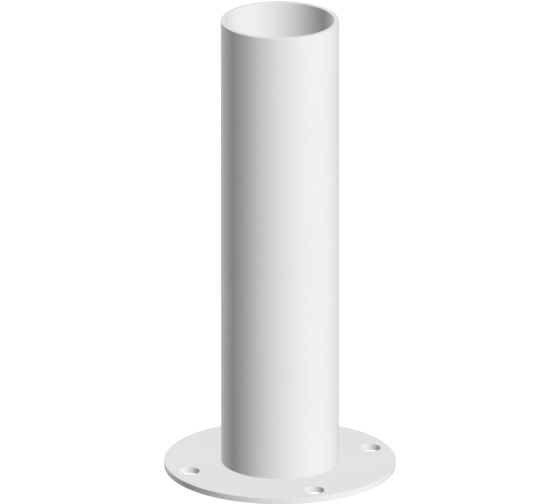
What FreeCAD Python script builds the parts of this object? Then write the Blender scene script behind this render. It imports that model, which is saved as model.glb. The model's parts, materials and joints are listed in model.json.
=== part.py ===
"""Stanchion base: a plain upright tube welded into a thin round deck flange.

The tube passes through a hole in the middle of the flange and stops just short of its underside.
The weld ring that joins them fills that recess, so the underside stays flat and the top has no bead.
Four screw holes lie on the X and Y axes.

Frame: millimetres, +Z up along the tube's axis, origin at the centre of the flange's underside.
"""
import FreeCAD, Part
import math
import os
import Sketcher

DIMENSIONS = {
    "tube_outer_dia": 38.1,  # 1 1/2 in rail tube
    "tube_wall": 1.65,  # 0.065 in wall
    "tube_rise": 150.0,  # rim above the flange's top face
    "flange_dia": 75.0,
    "flange_thick": 2.0,
    "screw_circle_dia": 62.5,
    "screw_hole_dia": 6.75,  # free fit for 1/4 in and M6 screws
    "screw_count": 4,
    "seat_gap": 0.1,  # radial gap between the tube and its hole in the flange
    "weld_recess": 1.0,  # from the underside up to the tube's lower end
    "weld_prep": 0.8,  # 45 degree chamfer under the flange's centre hole
    "weld_lift": 0.1,  # the bead stays this far above the underside
    "weld_inset": 0.15,  # the bead stays this far outside the bore
    "rim_break": 0.3,  # rounding of the tube's rim
    "edge_break": 0.15,  # rounding of the flange's outer edges
    "hole_break": 0.15,  # chamfer on the screw holes
}
SHEET = "Dimensions"
FULL_TURN = 360.0
VOLUME_TOLERANCE = 0.001  # as a share of the expected volume
LENGTH_TOLERANCE = 1e-4
FIRST_RADIUS = 1.0  # a new circle's radius, before its constraint sets it

# Sketcher's numbers for the sketch's origin and for the points of a line, arc or circle.
ORIGIN = (-1, 1)
H_AXIS = -1
START = 1
END = 2
CENTRE = 3


def make_sheet(doc):
    """Puts the driving dimensions in a spreadsheet, one to a row, each with its name as the alias."""
    sheet = doc.addObject("Spreadsheet::Sheet", SHEET)
    for row, (name, value) in enumerate(DIMENSIONS.items(), start=1):
        sheet.set(f"A{row}", name)
        sheet.set(f"B{row}", str(value))
        sheet.setAlias(f"B{row}", name)
    doc.recompute()
    return sheet


def new_body(doc, node):
    """A body whose label is the node's name, which names its file too."""
    body = doc.addObject("PartDesign::Body", node)
    body.Label = node
    return body


def origin_feature(body, role):
    """One of the body's own origin planes or axes."""
    return next(feature for feature in body.Origin.OriginFeatures if feature.Role == role)


def new_sketch(body, name, plane="XY_Plane", height=None):
    """A sketch on one of the body's origin planes, raised by the expression height if there is one."""
    sketch = body.newObject("Sketcher::SketchObject", name)
    sketch.AttachmentSupport = [(origin_feature(body, plane), "")]
    sketch.MapMode = "FlatFace"
    if height:
        sketch.setExpression("AttachmentOffset.Base.z", height)
    return sketch


def bind(sketch, name, constraint, expression):
    """Adds a constraint with a size and drives it from the spreadsheet."""
    index = sketch.addConstraint(constraint)
    sketch.renameConstraint(index, name)
    sketch.setExpression(f"Constraints.{name}", expression)


def add_circle(sketch, name, diameter):
    """Draws a circle whose diameter is bound to an expression. Returns its geometry index."""
    circle = Part.Circle(FreeCAD.Vector(0, 0, 0), FreeCAD.Vector(0, 0, 1), FIRST_RADIUS)
    index = sketch.addGeometry(circle, False)
    bind(sketch, name, Sketcher.Constraint("Diameter", index, 2 * FIRST_RADIUS), diameter)
    return index


def add_ring(sketch, outer_dia, inner_dia):
    """Draws two circles about the sketch's origin."""
    for name, diameter in (("outer_dia", outer_dia), ("inner_dia", inner_dia)):
        circle = add_circle(sketch, name, diameter)
        sketch.addConstraint(Sketcher.Constraint("Coincident", circle, CENTRE, *ORIGIN))


def pad(body, name, sketch, length):
    """Extrudes a sketch upwards by an expression."""
    feature = body.newObject("PartDesign::Pad", name)
    feature.Profile = sketch
    feature.setExpression("Length", length)
    body.Document.recompute()
    return feature


def near(value, target):
    """True if two lengths are the same."""
    return abs(value - target) < LENGTH_TOLERANCE


def circular_edges(feature, radius=None, height=None):
    """Names of the feature's circular edges that have the radius and the height, where given."""
    names = []
    for number, edge in enumerate(feature.Shape.Edges, start=1):
        curve = edge.Curve
        if not isinstance(curve, Part.Circle):
            continue
        if radius is not None and not near(curve.Radius, radius):
            continue
        if height is not None and not near(curve.Center.z, height):
            continue
        names.append(f"Edge{number}")
    return names


def round_edges(body, name, base, edges, radius):
    """Rounds edges of the body's latest feature."""
    feature = body.newObject("PartDesign::Fillet", name)
    feature.Base = (base, edges)
    feature.setExpression("Radius", radius)
    body.Document.recompute()
    return feature


def chamfer_edges(body, name, base, edges, size):
    """Chamfers edges of the body's latest feature at 45 degrees."""
    feature = body.newObject("PartDesign::Chamfer", name)
    feature.Base = (base, edges)
    feature.setExpression("Size", size)
    body.Document.recompute()
    return feature


def make_socket_tube(doc, dims):
    """The tube, from the weld recess up to its rounded rim."""
    body = new_body(doc, "socket_tube")
    section = new_sketch(body, "tube_section", height=f"{SHEET}.weld_recess")
    add_ring(
        section,
        outer_dia=f"{SHEET}.tube_outer_dia",
        inner_dia=f"{SHEET}.tube_outer_dia - 2 * {SHEET}.tube_wall",
    )
    length = f"{SHEET}.flange_thick + {SHEET}.tube_rise - {SHEET}.weld_recess"
    tube = pad(body, "tube", section, length)

    rim_edges = circular_edges(tube, height=dims.flange_thick + dims.tube_rise)
    round_edges(body, "rim_rounding", tube, rim_edges, f"{SHEET}.rim_break")
    return body


def drill_screw_holes(body, plate, dims):
    """Drills one screw hole on the +X axis and repeats it around the flange."""
    place = new_sketch(body, "screw_hole_place", height=f"{SHEET}.flange_thick")
    circle = add_circle(place, "drill_dia", f"{SHEET}.screw_hole_dia")
    place.addConstraint(Sketcher.Constraint("PointOnObject", circle, CENTRE, H_AXIS))
    pitch_radius = dims.screw_circle_dia / 2
    reach = Sketcher.Constraint("DistanceX", *ORIGIN, circle, CENTRE, pitch_radius)
    bind(place, "pitch_radius", reach, f"{SHEET}.screw_circle_dia / 2")
    body.Document.recompute()

    hole = body.newObject("PartDesign::Hole", "screw_hole")
    hole.Profile = place
    body.Document.recompute()
    hole.DepthType = "ThroughAll"
    hole.setExpression("Diameter", f"{SHEET}.screw_hole_dia")

    holes = body.newObject("PartDesign::PolarPattern", "screw_holes")
    holes.Originals = [hole]
    holes.Axis = (origin_feature(body, "Z_Axis"), [""])
    holes.Angle = FULL_TURN
    holes.setExpression("Occurrences", f"{SHEET}.screw_count")
    body.Tip = holes
    body.Document.recompute()

    hole_volume = math.pi * (dims.screw_hole_dia / 2) ** 2 * dims.flange_thick
    expected = dims.screw_count * hole_volume
    removed = plate.Shape.Volume - holes.Shape.Volume
    if abs(removed - expected) > VOLUME_TOLERANCE * expected:
        raise RuntimeError(f"the screw holes removed {removed:.3f} mm3 and not {expected:.3f} mm3")
    return holes


def make_base_flange(doc, dims):
    """The flange: a disc with a centre hole for the tube, a weld chamfer under it and the screw holes."""
    body = new_body(doc, "base_flange")
    outline = new_sketch(body, "flange_outline")
    add_ring(
        outline,
        outer_dia=f"{SHEET}.flange_dia",
        inner_dia=f"{SHEET}.tube_outer_dia + 2 * {SHEET}.seat_gap",
    )
    plate = pad(body, "plate", outline, f"{SHEET}.flange_thick")
    drilled = drill_screw_holes(body, plate, dims)

    hole_edges = circular_edges(drilled, radius=dims.screw_hole_dia / 2)
    eased = chamfer_edges(body, "screw_hole_break", drilled, hole_edges, f"{SHEET}.hole_break")

    seat_edges = circular_edges(eased, radius=dims.tube_outer_dia / 2 + dims.seat_gap, height=0)
    prepared = chamfer_edges(body, "weld_chamfer", eased, seat_edges, f"{SHEET}.weld_prep")

    rim_edges = circular_edges(prepared, radius=dims.flange_dia / 2)
    round_edges(body, "rim_rounding", prepared, rim_edges, f"{SHEET}.edge_break")
    return body


def make_weld_bead(doc, dims):
    """The weld: a ring that fills the recess under the tube, with a bulging lower face.

    Its section runs outwards under the tube's end, down the flange's hole and chamfer, and back
    inwards along an arc that leaves the chamfer level with the deck.
    """
    body = new_body(doc, "weld_bead")
    section = new_sketch(body, "weld_section", plane="XZ_Plane")
    toe_radius = dims.tube_outer_dia / 2 - dims.tube_wall + dims.weld_inset
    seat_radius = dims.tube_outer_dia / 2 + dims.seat_gap
    foot_radius = seat_radius + dims.weld_prep - dims.weld_lift
    rise = dims.weld_recess - dims.weld_lift
    face_radius = ((foot_radius - toe_radius) ** 2 + rise**2) / (2 * rise)

    toe = FreeCAD.Vector(toe_radius, dims.weld_recess, 0)
    root = FreeCAD.Vector(seat_radius, dims.weld_recess, 0)
    corner = FreeCAD.Vector(seat_radius, dims.weld_prep, 0)
    foot = FreeCAD.Vector(foot_radius, dims.weld_lift, 0)
    centre = FreeCAD.Vector(foot_radius, dims.weld_lift + face_radius, 0)
    face_circle = Part.Circle(centre, FreeCAD.Vector(0, 0, 1), face_radius)
    toe_angle = math.atan2(toe.y - centre.y, toe.x - centre.x)
    foot_angle = -math.pi / 2

    under_tube = section.addGeometry(Part.LineSegment(toe, root), False)
    seat_wall = section.addGeometry(Part.LineSegment(root, corner), False)
    chamfer = section.addGeometry(Part.LineSegment(corner, foot), False)
    face = section.addGeometry(Part.ArcOfCircle(face_circle, toe_angle, foot_angle), False)
    section.addConstraint(
        [
            Sketcher.Constraint("Coincident", under_tube, END, seat_wall, START),
            Sketcher.Constraint("Coincident", seat_wall, END, chamfer, START),
            Sketcher.Constraint("Coincident", chamfer, END, face, END),
            Sketcher.Constraint("Coincident", face, START, under_tube, START),
            Sketcher.Constraint("Horizontal", under_tube),
            Sketcher.Constraint("Vertical", seat_wall),
            Sketcher.Constraint("Vertical", face, CENTRE, face, END),
        ]
    )

    bore = f"{SHEET}.tube_outer_dia / 2 - {SHEET}.tube_wall"
    seat = f"{SHEET}.tube_outer_dia / 2 + {SHEET}.seat_gap"
    foot_reach = f"{seat} + {SHEET}.weld_prep - {SHEET}.weld_lift"
    sizes = (
        ("toe_radius", "DistanceX", under_tube, START, toe.x, f"{bore} + {SHEET}.weld_inset"),
        ("toe_height", "DistanceY", under_tube, START, toe.y, f"{SHEET}.weld_recess"),
        ("seat_radius", "DistanceX", chamfer, START, corner.x, seat),
        ("corner_height", "DistanceY", chamfer, START, corner.y, f"{SHEET}.weld_prep"),
        ("foot_radius", "DistanceX", chamfer, END, foot.x, foot_reach),
        ("foot_height", "DistanceY", chamfer, END, foot.y, f"{SHEET}.weld_lift"),
    )
    for name, kind, line, point, value, expression in sizes:
        bind(section, name, Sketcher.Constraint(kind, *ORIGIN, line, point, value), expression)

    ring = body.newObject("PartDesign::Revolution", "weld_ring")
    ring.Profile = section
    ring.ReferenceAxis = (section, ["V_Axis"])
    ring.Angle = FULL_TURN
    doc.recompute()
    return body


def check_document(doc):
    """A failed feature or a loose sketch raises nothing by itself, so each object is looked at."""
    for item in doc.Objects:
        if {"Invalid", "Error"} & set(item.State):
            raise RuntimeError(f"{item.Label} did not build: {item.State}")
        if item.TypeId == "Sketcher::SketchObject" and not item.FullyConstrained:
            raise RuntimeError(f"{item.Label} is not fully constrained")


def check_solid(body):
    """Each body has to be one valid solid."""
    shape = body.Shape
    if shape.isNull() or not shape.isValid() or len(shape.Solids) != 1:
        raise RuntimeError(f"{body.Label} is not one valid solid")


def main():
    """Builds the three bodies, checks them and writes each to its own file."""
    doc = FreeCAD.newDocument("StanchionBase")
    dims = make_sheet(doc)
    bodies = [make_socket_tube(doc, dims), make_base_flange(doc, dims), make_weld_bead(doc, dims)]
    doc.recompute()
    check_document(doc)
    for body in bodies:
        check_solid(body)
    os.makedirs("parts", exist_ok=True)
    for body in bodies:
        body.Shape.exportStep(f"parts/{body.Label}.step")
        box = body.Shape.optimalBoundingBox()
        print(
            f"{body.Label}: {body.Shape.Volume:.1f} mm3, X {box.XMin:.2f} to {box.XMax:.2f},"
            f" Y {box.YMin:.2f} to {box.YMax:.2f}, Z {box.ZMin:.2f} to {box.ZMax:.2f}"
        )


main()
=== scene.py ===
"""Stanchion base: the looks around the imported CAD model.

The tube, the flange and the weld ring each get a finer mesh than the CAD node that they stand for,
with eased edges and a coated finish. Everything is in metres, in the CAD model's frame: +Z up, origin
at the centre of the flange's underside.
"""
import json
import math

import bmesh
import bpy
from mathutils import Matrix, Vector


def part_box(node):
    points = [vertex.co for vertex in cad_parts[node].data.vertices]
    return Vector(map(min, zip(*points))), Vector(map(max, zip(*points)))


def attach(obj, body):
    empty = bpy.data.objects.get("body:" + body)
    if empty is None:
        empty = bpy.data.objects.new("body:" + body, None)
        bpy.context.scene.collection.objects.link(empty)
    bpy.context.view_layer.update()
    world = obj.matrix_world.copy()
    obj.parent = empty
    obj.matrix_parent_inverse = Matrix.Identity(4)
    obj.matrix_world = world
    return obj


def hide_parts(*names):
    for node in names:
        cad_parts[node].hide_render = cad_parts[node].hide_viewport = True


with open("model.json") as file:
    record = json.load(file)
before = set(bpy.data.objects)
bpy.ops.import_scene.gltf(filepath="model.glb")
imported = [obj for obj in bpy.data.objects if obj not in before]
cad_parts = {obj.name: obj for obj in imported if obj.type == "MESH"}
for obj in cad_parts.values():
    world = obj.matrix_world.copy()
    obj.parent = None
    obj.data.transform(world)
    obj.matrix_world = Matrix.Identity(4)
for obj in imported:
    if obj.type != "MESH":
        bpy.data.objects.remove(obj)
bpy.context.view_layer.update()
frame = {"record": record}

MM = 0.001
QUARTER = math.pi / 2

# ---------------------------------------------------------------- sizes, read from the CAD frame
MOUNTS = {mount["name"]: mount["dims"] for mount in frame["record"]["mounts"]}
TUBE_LOW, TUBE_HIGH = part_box("socket_tube")
FLANGE_LOW, FLANGE_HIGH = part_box("base_flange")
WELD_LOW, WELD_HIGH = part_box("weld_bead")

TUBE_RADIUS = TUBE_HIGH.x
BORE_RADIUS = MOUNTS["socket_bore"]["r_mm"] * MM
TUBE_FOOT = TUBE_LOW.z
RIM_HEIGHT = TUBE_HIGH.z

FLANGE_RADIUS = FLANGE_HIGH.x
DECK = FLANGE_LOW.z
FLANGE_TOP = FLANGE_HIGH.z
SCREW_COUNT = MOUNTS["screw_holes"]["count"]
SCREW_REACH = MOUNTS["screw_holes"]["pcd_mm"] / 2 * MM
SCREW_RADIUS = MOUNTS["screw_holes"]["hole_r_mm"] * MM

SEAT_GAP = 0.1 * MM  # between the tube and the flange's middle hole
SEAT_RADIUS = TUBE_RADIUS + SEAT_GAP
WELD_INSET = 0.15 * MM  # the bead stays this far outside the bore
WELD_TOE_RADIUS = BORE_RADIUS + WELD_INSET
WELD_FOOT_RADIUS = WELD_HIGH.x
WELD_LIFT = WELD_LOW.z
CHAMFER_RADIUS = WELD_FOOT_RADIUS + WELD_LIFT - DECK  # where the 45 degree weld chamfer ends
CHAMFER_TOP = DECK + CHAMFER_RADIUS - SEAT_RADIUS

# ---------------------------------------------------------------- small sizes of the finish
RIM_ROUND = 0.3 * MM
FOOT_ROUND = 0.15 * MM
FLANGE_ROUND = 0.15 * MM
HOLE_ROUND = 0.15 * MM
COAT_FILLET = SEAT_GAP  # the coating bridges the gap where the tube leaves the flange

BEAD_LENGTH = math.pi * (WELD_TOE_RADIUS + WELD_FOOT_RADIUS)  # once round the ring
RIPPLE_COUNT = round(BEAD_LENGTH / (1.5 * MM))  # about 1.5 mm apart
RIPPLE_PITCH = BEAD_LENGTH / RIPPLE_COUNT
RIPPLE_DEPTH = 0.07 * MM
RIPPLE_BOW = 0.9 * MM  # how far a ripple's middle trails behind its ends
RIPPLE_POWER = 0.7  # below 1, for broad backs with narrow valleys between them
RIPPLE_WANDER = 0.5 * MM  # how far the welder's hand strays from an even pitch
RIPPLE_HEFT = 0.2  # share by which ripples are shallower or deeper than the rest
WANDER_WAVES = ((5, 0), (13, 1), (29, 2))  # sine waves: how many to a turn, and their start
HEFT_WAVES = ((7, 3), (19, 0))

# ---------------------------------------------------------------- how fine the meshes are
TURN_STEPS = 256  # facets round the tube and the flange
WELD_STEPS = 1152  # facets round the weld, about 15 to a ripple
BEAD_STEPS = 14  # facets across the weld's face
ARC_STEPS = 6  # facets in a rounded edge
SIDE_STEPS = 16  # facets along a flange sector's straight sides
SHEET_RINGS = 8  # rows of facets from a screw hole to its sector's outline
SHEET_SPREAD = 1.5  # above 1, so the rows are closest together at the hole
LONGEST_FACET = 4 * MM
SAME_POINT = 1e-4 * MM  # points closer than this become one
SMOOTH_BELOW = math.radians(35)

# ---------------------------------------------------------------- the coating
DRIFT_SCALE = 35  # features to a metre, here and in the next three
SPECKLE_SCALE = 1400
PEEL_SCALE = 650
GRAIN_SCALE = 3200
DRIFT_TONE = 0.007  # how far the tone strays from its grey, each way
SPECKLE_TONE = 0.008
DRIFT_ROUGHNESS = (0.35, 0.41)  # these two add up to the coating's roughness
GRAIN_ROUGHNESS = (0.2, 0.26)
GRAIN_HEIGHT = 0.15  # as a share of the orange peel's
NOISE_LOW = 0.3  # nearly all of a noise texture lies from here
NOISE_HIGH = 0.7  # to here

# ---------------------------------------------------------------- stage, light and camera
FLOOR_RADIUS = 3.0
FLOOR_STEPS = 96
FLOOR_DROP = 0.05 * MM  # keeps the floor clear of the flange's underside
FLOOR_PAINT = 0.95
FLOOR_GLOW = 0.1
AMBIENT = 0.292
BACKDROP = 1.05
VIEW_AZIMUTH = -20.63
VIEW_ELEVATION = 19.28
VIEW_WIDTH = 180.5 * MM  # what the picture's width takes in at the object
VIEW_CENTRE = Vector((0, 0, 72.95 * MM))
LENS = 1500  # the lens and the sensor are in millimetres, as Blender wants them
SENSOR = 36


# ---------------------------------------------------------------- mesh helpers
def arc(centre, radius, start, end):
    """Points of an arc in a (radius, height) plane, with both ends. Start and end are in quarter turns."""
    turns = [QUARTER * (start + (end - start) * step / ARC_STEPS) for step in range(ARC_STEPS + 1)]
    return [(centre[0] + radius * math.cos(turn), centre[1] + radius * math.sin(turn)) for turn in turns]


def between(start, end):
    """The inner points of a straight run, no further apart than the longest facet."""
    count = max(1, math.ceil(math.dist(start, end) / LONGEST_FACET))
    return [tuple(a + (b - a) * step / count for a, b in zip(start, end)) for step in range(1, count)]


def ring(radius, height, steps=TURN_STEPS):
    """Points of a level circle about the Z axis."""
    turns = [2 * math.pi * step / steps for step in range(steps)]
    return [(radius * math.cos(turn), radius * math.sin(turn), height) for turn in turns]


def add_rows(bm, rows, closed=False):
    """Joins rows of points, each as long as the next, with four-sided faces.

    Every row runs round into its own start. Where closed, the last row is joined to the first.
    """
    rows = [[bm.verts.new(point) for point in row] for row in rows]
    pairs = list(zip(rows, rows[1:]))
    if closed:
        pairs.append((rows[-1], rows[0]))
    for one, other in pairs:
        for i in range(len(one)):
            j = (i + 1) % len(one)
            bm.faces.new((one[i], one[j], other[j], other[i]))


def put_in_scene(name, data):
    """Makes an object that holds the data and links it to the scene."""
    thing = bpy.data.objects.new(name, data)
    bpy.context.scene.collection.objects.link(thing)
    return thing


def finish_piece(name, bm, node, material):
    """Makes a bmesh into a shaded piece that rides on the root body and stands for a CAD node."""
    bmesh.ops.remove_doubles(bm, verts=bm.verts, dist=SAME_POINT)
    bmesh.ops.recalc_face_normals(bm, faces=bm.faces)
    mesh = bpy.data.meshes.new(name)
    bm.to_mesh(mesh)
    bm.free()
    mesh.shade_smooth()
    mesh.set_sharp_from_angle(angle=SMOOTH_BELOW)
    mesh.materials.append(material)
    piece = put_in_scene(name, mesh)
    weighted = piece.modifiers.new("face_normals", "WEIGHTED_NORMAL")
    weighted.keep_sharp = True
    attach(piece, "root")
    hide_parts(node)
    return piece


# ---------------------------------------------------------------- materials
class Nodes:
    """A short way to write the node tree of a material or a world."""

    def __init__(self, owner):
        owner.use_nodes = True
        self.tree = owner.node_tree
        self.tree.nodes.clear()

    def feed(self, socket, value):
        """Links a socket to value, or sets it where value is a plain number, colour or vector."""
        if isinstance(value, bpy.types.NodeSocket):
            self.tree.links.new(value, socket)
        else:
            socket.default_value = value

    def add(self, kind, **inputs):
        """Adds a node. An input's name is written with underscores for spaces."""
        node = self.tree.nodes.new(kind)
        for key, value in inputs.items():
            self.feed(node.inputs[key.replace("_", " ")], value)
        return node

    def noise(self, place, scale, detail=1, roughness=0.5):
        """Noise about 0.5 with that many features to a metre."""
        node = self.add("ShaderNodeTexNoise", Vector=place, Scale=scale, Detail=detail, Roughness=roughness)
        return node.outputs["Fac"]

    def remap(self, noise, low, high):
        """Carries a noise's usual range over to low to high."""
        node = self.add(
            "ShaderNodeMapRange",
            Value=noise,
            From_Min=NOISE_LOW,
            From_Max=NOISE_HIGH,
            To_Min=low,
            To_Max=high,
        )
        return node.outputs["Result"]

    def combine(self, operation, one, other):
        """One arithmetic step."""
        node = self.add("ShaderNodeMath")
        node.operation = operation
        self.feed(node.inputs[0], one)
        self.feed(node.inputs[1], other)
        return node.outputs["Value"]


def coated(name, grey, peel_depth):
    """Satin coating on metal: an even grey with slow drift and fine speckle, over orange peel."""
    material = bpy.data.materials.new(name)
    nodes = Nodes(material)
    place = nodes.add("ShaderNodeTexCoord").outputs["Object"]
    drift = nodes.noise(place, DRIFT_SCALE, detail=2)
    speckle = nodes.noise(place, SPECKLE_SCALE)
    peel = nodes.noise(place, PEEL_SCALE, detail=2, roughness=0.45)
    grain = nodes.noise(place, GRAIN_SCALE)

    slow = nodes.remap(drift, -DRIFT_TONE, DRIFT_TONE)
    fine = nodes.remap(speckle, -SPECKLE_TONE, SPECKLE_TONE)
    value = nodes.combine("ADD", nodes.combine("ADD", slow, fine), grey)
    colour = nodes.add("ShaderNodeCombineColor", Red=value, Green=value, Blue=value)
    broad = nodes.remap(drift, *DRIFT_ROUGHNESS)
    roughness = nodes.combine("ADD", broad, nodes.remap(grain, *GRAIN_ROUGHNESS))
    height = nodes.combine("ADD", peel, nodes.combine("MULTIPLY", grain, GRAIN_HEIGHT))
    bump = nodes.add("ShaderNodeBump", Height=height, Distance=peel_depth, Strength=1.0)
    shader = nodes.add(
        "ShaderNodeBsdfPrincipled",
        Base_Color=colour.outputs["Color"],
        Roughness=roughness,
        IOR=1.45,
        Specular_IOR_Level=0.3,
        Normal=bump.outputs["Normal"],
    )
    nodes.add("ShaderNodeOutputMaterial", Surface=shader.outputs["BSDF"])
    return material


COAT = coated("coat", grey=0.70, peel_depth=0.03 * MM)
WELD_COAT = coated("weld_coat", grey=0.68, peel_depth=0.04 * MM)


# ---------------------------------------------------------------- the tube
def make_tube():
    """Foot, outside wall, rounded rim and bore, with a small coating fillet where it meets the flange."""
    foot = TUBE_FOOT + FOOT_ROUND
    rim = RIM_HEIGHT - RIM_ROUND
    fillet_top = FLANGE_TOP + COAT_FILLET
    profile = arc((TUBE_RADIUS - FOOT_ROUND, foot), FOOT_ROUND, -1, 0)
    profile += [(TUBE_RADIUS, FLANGE_TOP)]
    profile += arc((TUBE_RADIUS + COAT_FILLET, fillet_top), COAT_FILLET, -1, -2)
    profile += between((TUBE_RADIUS, fillet_top), (TUBE_RADIUS, rim))
    profile += arc((TUBE_RADIUS - RIM_ROUND, rim), RIM_ROUND, 0, 1)
    profile += arc((BORE_RADIUS + RIM_ROUND, rim), RIM_ROUND, 1, 2)
    profile += between((BORE_RADIUS, rim), (BORE_RADIUS, foot))
    profile += arc((BORE_RADIUS + FOOT_ROUND, foot), FOOT_ROUND, 2, 3)
    bm = bmesh.new()
    add_rows(bm, [ring(radius, height) for radius, height in profile], closed=True)
    return finish_piece("tube", bm, "socket_tube", COAT)


# ---------------------------------------------------------------- the flange
def sector_outline(inner, outer, middle):
    """The outline of one screw hole's share of the flange, from its first outer corner round."""
    half = math.pi / SCREW_COUNT
    arc_steps = TURN_STEPS // SCREW_COUNT
    turns = [middle - half + 2 * half * step / arc_steps for step in range(arc_steps)]
    depths = [step / SIDE_STEPS for step in range(SIDE_STEPS)]
    points = [(outer, turn) for turn in turns]
    points += [(outer + (inner - outer) * depth, middle + half) for depth in depths]
    points += [(inner, 2 * middle - turn) for turn in turns]
    points += [(inner + (outer - inner) * depth, middle - half) for depth in depths]
    return [(radius * math.cos(turn), radius * math.sin(turn)) for radius, turn in points]


def hole_circle(radius, middle):
    """Points round a screw hole that pair with the points of its sector's outline."""
    arc_steps = TURN_STEPS // SCREW_COUNT
    steps = 2 * (arc_steps + SIDE_STEPS)
    centre = (SCREW_REACH * math.cos(middle), SCREW_REACH * math.sin(middle))
    turns = [middle + 2 * math.pi * (step - arc_steps / 2) / steps for step in range(steps)]
    return [(centre[0] + radius * math.cos(turn), centre[1] + radius * math.sin(turn)) for turn in turns]


def add_sheet(bm, inner, outer, height, middle):
    """One sector of a flat face, in rows that spread from its screw hole to its outline."""
    hole = hole_circle(SCREW_RADIUS + HOLE_ROUND, middle)
    outline = sector_outline(inner, outer, middle)
    rows = []
    for step in range(SHEET_RINGS + 1):
        share = (step / SHEET_RINGS) ** SHEET_SPREAD
        row = [(x + (far_x - x) * share, y + (far_y - y) * share, height)
               for (x, y), (far_x, far_y) in zip(hole, outline)]
        rows.append(row)
    add_rows(bm, rows)


def make_flange():
    """Two flat faces joined by the rounded rim, the seat with its weld chamfer, and the screw holes."""
    bm = bmesh.new()
    face_radius = FLANGE_RADIUS - FLANGE_ROUND
    hole_wall = arc((HOLE_ROUND, FLANGE_TOP - HOLE_ROUND), HOLE_ROUND, 1, 2)
    hole_wall += arc((HOLE_ROUND, DECK + HOLE_ROUND), HOLE_ROUND, 2, 3)
    for number in range(SCREW_COUNT):
        middle = 2 * math.pi * number / SCREW_COUNT
        add_sheet(bm, SEAT_RADIUS, face_radius, FLANGE_TOP, middle)
        add_sheet(bm, CHAMFER_RADIUS, face_radius, DECK, middle)
        wall_rows = []
        for widening, height in hole_wall:
            wall_rows.append([(x, y, height) for x, y in hole_circle(SCREW_RADIUS + widening, middle)])
        add_rows(bm, wall_rows)

    rim = arc((face_radius, FLANGE_TOP - FLANGE_ROUND), FLANGE_ROUND, 1, 0)
    rim += arc((face_radius, DECK + FLANGE_ROUND), FLANGE_ROUND, 0, -1)
    seat = [(SEAT_RADIUS, FLANGE_TOP), (SEAT_RADIUS, CHAMFER_TOP), (CHAMFER_RADIUS, DECK)]
    for profile in (rim, seat):
        add_rows(bm, [ring(radius, height) for radius, height in profile])
    return finish_piece("flange", bm, "base_flange", COAT)


# ---------------------------------------------------------------- the weld
def sway(turn, waves):
    """The mean of a few sine waves round the ring: uneven, and between -1 and 1."""
    return sum(math.sin(count * turn + start) for count, start in waves) / len(waves)


def crown(across):
    """A hump over the bead, 0 at its two edges and 1 at its middle."""
    return 4 * across * (1 - across)


def ripple(turn, across):
    """Height of the weld's ripples at a turn about Z and a place across the bead, from 0 to about 1."""
    along = turn / (2 * math.pi) * BEAD_LENGTH
    along += RIPPLE_BOW * (2 * across - 1) ** 2 + RIPPLE_WANDER * sway(turn, WANDER_WAVES)
    phase = along / RIPPLE_PITCH % 1
    heft = 1 + RIPPLE_HEFT * sway(turn, HEFT_WAVES)
    return crown(across) * heft * math.sin(math.pi * phase) ** RIPPLE_POWER


def make_weld():
    """The ring under the tube. Its lower face follows the CAD arc and carries the ripples."""
    rise = TUBE_FOOT - WELD_LIFT
    run = WELD_FOOT_RADIUS - WELD_TOE_RADIUS
    face_radius = (run**2 + rise**2) / (2 * rise)
    centre_height = WELD_LIFT + face_radius
    sweep = math.asin(run / face_radius)
    hidden = [(WELD_TOE_RADIUS, TUBE_FOOT), (SEAT_RADIUS, TUBE_FOOT), (SEAT_RADIUS, CHAMFER_TOP)]
    rows = [ring(radius, height, WELD_STEPS) for radius, height in hidden]
    for step in range(BEAD_STEPS):
        across = step / BEAD_STEPS
        angle = -QUARTER - sweep * across
        row = []
        for facet in range(WELD_STEPS):
            turn = 2 * math.pi * facet / WELD_STEPS
            reach = face_radius + RIPPLE_DEPTH * (ripple(turn, across) - crown(across))
            radius = WELD_FOOT_RADIUS + reach * math.cos(angle)
            height = centre_height + reach * math.sin(angle)
            row.append((radius * math.cos(turn), radius * math.sin(turn), height))
        rows.append(row)
    bm = bmesh.new()
    add_rows(bm, rows, closed=True)
    return finish_piece("weld", bm, "weld_bead", WELD_COAT)


# ---------------------------------------------------------------- floor, backdrop and light
def make_floor():
    """A plain pale disc."""
    material = bpy.data.materials.new("floor_paint")
    nodes = Nodes(material)
    paint = nodes.add("ShaderNodeBsdfDiffuse", Color=(FLOOR_PAINT, FLOOR_PAINT, FLOOR_PAINT, 1))
    glow = nodes.add("ShaderNodeEmission", Color=(1, 1, 1, 1), Strength=FLOOR_GLOW)
    both = nodes.add("ShaderNodeAddShader")
    nodes.feed(both.inputs[0], paint.outputs["BSDF"])
    nodes.feed(both.inputs[1], glow.outputs["Emission"])
    nodes.add("ShaderNodeOutputMaterial", Surface=both.outputs["Shader"])

    bm = bmesh.new()
    bmesh.ops.create_circle(bm, cap_ends=True, segments=FLOOR_STEPS, radius=FLOOR_RADIUS)
    mesh = bpy.data.meshes.new("floor")
    bm.to_mesh(mesh)
    bm.free()
    mesh.materials.append(material)
    floor = put_in_scene("floor", mesh)
    floor.location.z = DECK - FLOOR_DROP
    return floor


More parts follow.
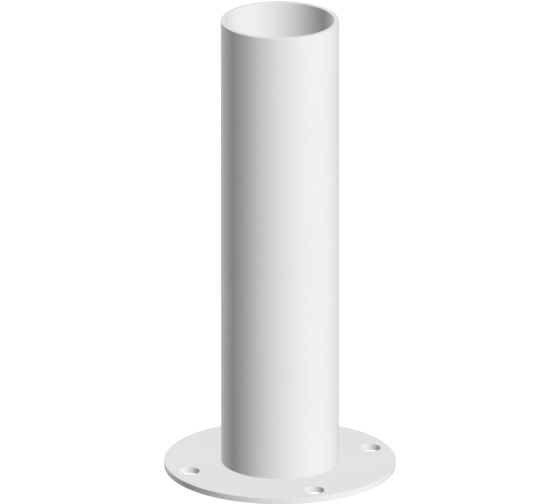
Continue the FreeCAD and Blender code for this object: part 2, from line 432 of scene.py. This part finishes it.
def make_world():
    """Even light from all round, behind a white backdrop."""
    world = bpy.data.worlds.new("studio")
    nodes = Nodes(world)
    seen = nodes.add("ShaderNodeLightPath").outputs["Is Camera Ray"]
    strength = nodes.add("ShaderNodeMapRange", Value=seen, To_Min=AMBIENT, To_Max=BACKDROP)
    light = nodes.add("ShaderNodeBackground", Color=(1, 1, 1, 1), Strength=strength.outputs["Result"])
    nodes.add("ShaderNodeOutputWorld", Surface=light.outputs["Background"])
    bpy.context.scene.world = world


def toward(azimuth, elevation):
    """The direction from the object to something at that azimuth and elevation, in degrees."""
    azimuth = math.radians(azimuth)
    elevation = math.radians(elevation)
    level = math.cos(elevation)
    return Vector((math.sin(azimuth) * level, -math.cos(azimuth) * level, math.sin(elevation)))


def make_lamp(name, azimuth, elevation, spread, strength):
    """A distant lamp without shadows, spread degrees across."""
    lamp = bpy.data.lights.new(name, "SUN")
    lamp.energy = strength * math.pi
    lamp.angle = math.radians(spread)
    lamp.use_shadow = False
    holder = put_in_scene(name, lamp)
    holder.rotation_euler = toward(azimuth, elevation).to_track_quat("Z", "Y").to_euler()


# ---------------------------------------------------------------- camera
def make_camera():
    """A far camera with a long lens, so that the view is nearly parallel."""
    camera = bpy.data.cameras.new("camera")
    camera.lens = LENS
    camera.sensor_width = SENSOR
    distance = VIEW_WIDTH * LENS / SENSOR
    camera.clip_end = 2 * distance
    back = toward(VIEW_AZIMUTH, VIEW_ELEVATION)
    holder = put_in_scene("camera", camera)
    holder.location = VIEW_CENTRE + back * distance
    holder.rotation_euler = back.to_track_quat("Z", "Y").to_euler()
    bpy.context.scene.camera = holder


# ---------------------------------------------------------------- the scene
for thing in (make_tube(), make_flange(), make_weld(), make_floor()):
    thing.visible_diffuse = False  # no light bounces from one to another
    thing.visible_glossy = False  # and none mirrors another
make_world()
make_lamp("key", azimuth=VIEW_AZIMUTH + 42, elevation=23, spread=36, strength=1.045)  # to the viewer's right
make_lamp("back", azimuth=VIEW_AZIMUTH - 143, elevation=27, spread=2, strength=0.86)  # behind, on the left
make_camera()
bpy.context.scene.view_settings.view_transform = "Standard"
